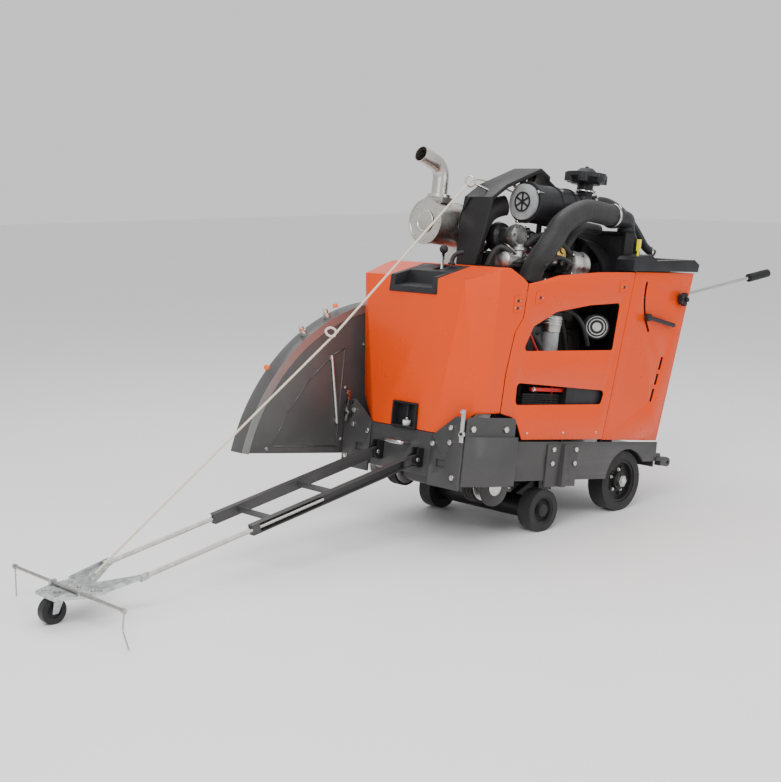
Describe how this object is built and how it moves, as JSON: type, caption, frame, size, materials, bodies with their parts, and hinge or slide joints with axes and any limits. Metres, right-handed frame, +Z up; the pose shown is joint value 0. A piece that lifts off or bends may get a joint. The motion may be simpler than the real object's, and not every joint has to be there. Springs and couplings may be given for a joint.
{
  "type": "walk-behind concrete saw",
  "caption": "Self-propelled walk-behind saw: orange covers over an engine, side blade guard, folding front pointer with caster and rope, four wheels and rear handlebars.",
  "frame": {"origin": "centre of the footprint of the whole machine, without its rope, on the ground", "axes": "+Z up, -Y towards the pointer at the front, +X to the operator's left"},
  "size_m": [0.8142, 3.7087, 1.5254],
  "materials": {
    "aluminium": "cast",
    "belt_rubber": "matt",
    "black_paint": "satin",
    "black_plastic": "satin",
    "chrome": "polished",
    "dark_paint": "satin",
    "engine_iron": "painted black",
    "galvanised": "galvanised",
    "grip_rubber": "matt",
    "guard_paint": "satin",
    "hose_rubber": "satin",
    "orange_paint": "gloss",
    "red_plastic": "gloss",
    "rope_fibre": "twisted",
    "stainless": "satin, heat tinted",
    "tyre_rubber": "matt",
    "yellow_plastic": "gloss",
    "zinc": "zinc plated"
  },
  "bodies": {
    "chassis": {"chassis_frame": "dark_paint", "bolted_plates": "dark_paint", "chassis_bolts": "zinc", "tow_bar": "chrome", "front_brackets": "black_paint", "hood": "orange_paint", "hood_tray": "black_plastic", "console_shell": "orange_paint", "console_top": "black_plastic", "engine_block": "engine_iron", "cylinder_head": "engine_iron", "fuel_system": "aluminium", "radiator": "aluminium", "gearbox": "engine_iron", "blade_shaft_housing": "dark_paint", "drive_belts": "belt_rubber", "muffler": "stainless", "air_cleaner": "black_plastic", "intake_hose": "hose_rubber", "rear_hoses": "hose_rubber", "battery": "black_plastic", "battery_clamp": "red_plastic", "lifting_bail": "black_paint", "rope_guide": "chrome", "hydraulics": "engine_iron", "guard_rear": "guard_paint", "pointer_rope": "rope_fibre"},
    "front_axle": {"front_axle_arm": "black_paint"},
    "front_wheel_l": {"front_wheel_left": "tyre_rubber"},
    "front_wheel_r": {"front_wheel_right": "tyre_rubber"},
    "rear_axle": {"rear_tyres": "tyre_rubber", "rear_rims": "black_paint", "rear_axle_shaft": "chrome"},
    "piston": {"lift_rod": "chrome"},
    "arbor_shaft": {"blade_shaft": "zinc"},
    "gear_shaft": {"drive_sheave": "zinc"},
    "fan": {"cooling_fan": "black_plastic"},
    "gear_lever": {"shift_lever": "chrome"},
    "handlebar_tilt": {"handlebar_yoke": "zinc"},
    "handlebar": {"handle_tubes": "chrome", "handle_grips": "grip_rubber"},
    "tilt_clamp": {"clamp_lever": "black_plastic"},
    "knob_l": {"clamp_knob_left": "chrome"},
    "knob_r": {"clamp_knob_right": "chrome"},
    "stop": {"stop_button": "red_plastic"},
    "throttle": {"throttle_lever": "chrome"},
    "oil_dipstick": {"dipstick": "yellow_plastic"},
    "panel_l": {"side_panel_left": "orange_paint"},
    "panel_r": {"side_panel_right": "orange_paint"},
    "guard_swing": {"guard_front": "guard_paint", "guard_water_line": "zinc"},
    "latch_l": {"latch_lever_left": "chrome"},
    "latch_r": {"latch_lever_right": "chrome"},
    "pointer": {"pointer_ladder": "dark_paint"},
    "pointer_slider": {"pointer_rods": "chrome", "pointer_tip": "galvanised", "rope_tail": "rope_fibre"},
    "caster": {"caster_fork": "galvanised"},
    "caster_roller": {"caster_wheel": "tyre_rubber"},
    "sight": {"sight_bar": "chrome"}
  },
  "joints": [
    {"name": "front_axle_swing", "type": "hinge", "parent": "chassis", "child": "front_axle", "pos_m": [0.00093, 0.38503, 0.15268], "axis": [-1, 0, 0], "range_deg": [0, 30]},
    {"name": "front_wheel_left_roll", "type": "hinge", "parent": "front_axle", "child": "front_wheel_l", "pos_m": [0.28093, 0.21865, 0.08504], "axis": [1, 0, 0], "continuous": true},
    {"name": "front_wheel_right_roll", "type": "hinge", "parent": "front_axle", "child": "front_wheel_r", "pos_m": [-0.27907, 0.21865, 0.08504], "axis": [1, 0, 0], "continuous": true},
    {"name": "rear_axle_roll", "type": "hinge", "parent": "chassis", "child": "rear_axle", "pos_m": [0.00093, 0.72965, 0.127], "axis": [1, 0, 0], "continuous": true},
    {"name": "lift_rod_stroke", "type": "slide", "parent": "chassis", "child": "piston", "axis": [0, 0.9913, -0.1319], "range_m": [0, 0.047]},
    {"name": "blade_shaft_spin", "type": "hinge", "parent": "chassis", "child": "arbor_shaft", "pos_m": [0.00093, -0.05477, 0.2213], "axis": [1, 0, 0], "continuous": true},
    {"name": "gear_shaft_spin", "type": "hinge", "parent": "chassis", "child": "gear_shaft", "pos_m": [0.00093, -0.07467, 0.52659], "axis": [1, 0, 0], "continuous": true},
    {"name": "fan_spin", "type": "hinge", "parent": "chassis", "child": "fan", "pos_m": [0.00093, 0.742, 0.93241], "axis": [0, 0.9913, -0.1319], "continuous": true},
    {"name": "gear_lever_tilt", "type": "hinge", "parent": "chassis", "child": "gear_lever", "pos_m": [0.01094, -0.07643, 0.93035], "axis": [1, 0, 0], "range_deg": [-8, 12]},
    {"name": "handlebar_tilt_joint", "type": "hinge", "parent": "chassis", "child": "handlebar_tilt", "pos_m": [0.00093, 1.09396, 0.87851], "axis": [1, 0, 0], "range_deg": [-14, 12]},
    {"name": "handlebar_reach", "type": "slide", "parent": "handlebar_tilt", "child": "handlebar", "axis": [0, -0.9955, -0.0945], "range_m": [0, 0.26]},
    {"name": "tilt_clamp_turn", "type": "hinge", "parent": "chassis", "child": "tilt_clamp", "pos_m": [0.33293, 0.85073, 0.81706], "axis": [1, 0, 0], "range_deg": [0, 60]},
    {"name": "knob_left_turn", "type": "hinge", "parent": "chassis", "child": "knob_l", "pos_m": [0.33593, 1.09396, 0.87851], "axis": [1, 0, 0], "continuous": true},
    {"name": "knob_right_turn", "type": "hinge", "parent": "chassis", "child": "knob_r", "pos_m": [-0.33407, 1.09396, 0.87851], "axis": [1, 0, 0], "continuous": true},
    {"name": "stop_press", "type": "slide", "parent": "chassis", "child": "stop", "axis": [0, -0.1319, -0.9913], "range_m": [0, 0.005], "stiffness_N_per_m": 800, "springref_m": -0.002},
    {"name": "throttle_tilt", "type": "hinge", "parent": "chassis", "child": "throttle", "pos_m": [-0.05906, 0.90142, 1.07664], "axis": [1, 0, 0], "range_deg": [-15, 25]},
    {"name": "dipstick_pull", "type": "slide", "parent": "chassis", "child": "oil_dipstick", "axis": [0, 0.1319, 0.9913], "range_m": [0, 0.18]},
    {"name": "panel_left_off", "type": "slide", "parent": "chassis", "child": "panel_l", "axis": [1, 0, 0], "range_m": [0, 0.15]},
    {"name": "panel_right_off", "type": "slide", "parent": "chassis", "child": "panel_r", "axis": [-1, 0, 0], "range_m": [0, 0.012]},
    {"name": "guard_front_swing", "type": "hinge", "parent": "chassis", "child": "guard_swing", "pos_m": [-0.37106, 0.049, 0.90256], "axis": [-1, 0, 0], "range_deg": [0, 95]},
    {"name": "latch_left_turn", "type": "hinge", "parent": "chassis", "child": "latch_l", "pos_m": [0.33693, -0.28182, 0.46336], "axis": [0, 0.9913, -0.1319], "range_deg": [0, 36]},
    {"name": "latch_right_turn", "type": "hinge", "parent": "chassis", "child": "latch_r", "pos_m": [-0.30406, -0.28182, 0.46336], "axis": [0, 0.9913, -0.1319], "range_deg": [0, 36]},
    {"name": "pointer_fold", "type": "hinge", "parent": "chassis", "child": "pointer", "pos_m": [0.00093, -0.30736, 0.33965], "axis": [-1, 0, 0], "range_deg": [0, 72], "deforming": ["pointer_rope"]},
    {"name": "pointer_reach", "type": "slide", "parent": "pointer", "child": "pointer_slider", "axis": [0, 0.9846, 0.1747], "range_m": [0, 0.38]},
    {"name": "caster_swivel", "type": "hinge", "parent": "pointer_slider", "child": "caster", "pos_m": [0.00093, -1.79035, 0.097], "axis": [0, 0, 1], "continuous": true},
    {"name": "caster_roll", "type": "hinge", "parent": "caster", "child": "caster_roller", "pos_m": [0.00093, -1.81035, 0.044], "axis": [1, 0, 0], "continuous": true},
    {"name": "sight_bar_shift", "type": "slide", "parent": "pointer_slider", "child": "sight", "axis": [1, 0, 0], "range_m": [-0.15, 0.15]}
  ],
  "couplings": [
    {"joint": "lift_rod_stroke", "follows": "front_axle_swing", "m_per_rad": 0.0882},
    {"joint": "gear_shaft_spin", "follows": "blade_shaft_spin", "ratio": 1},
    {"joint": "fan_spin", "follows": "blade_shaft_spin", "ratio": 1}
  ]
}
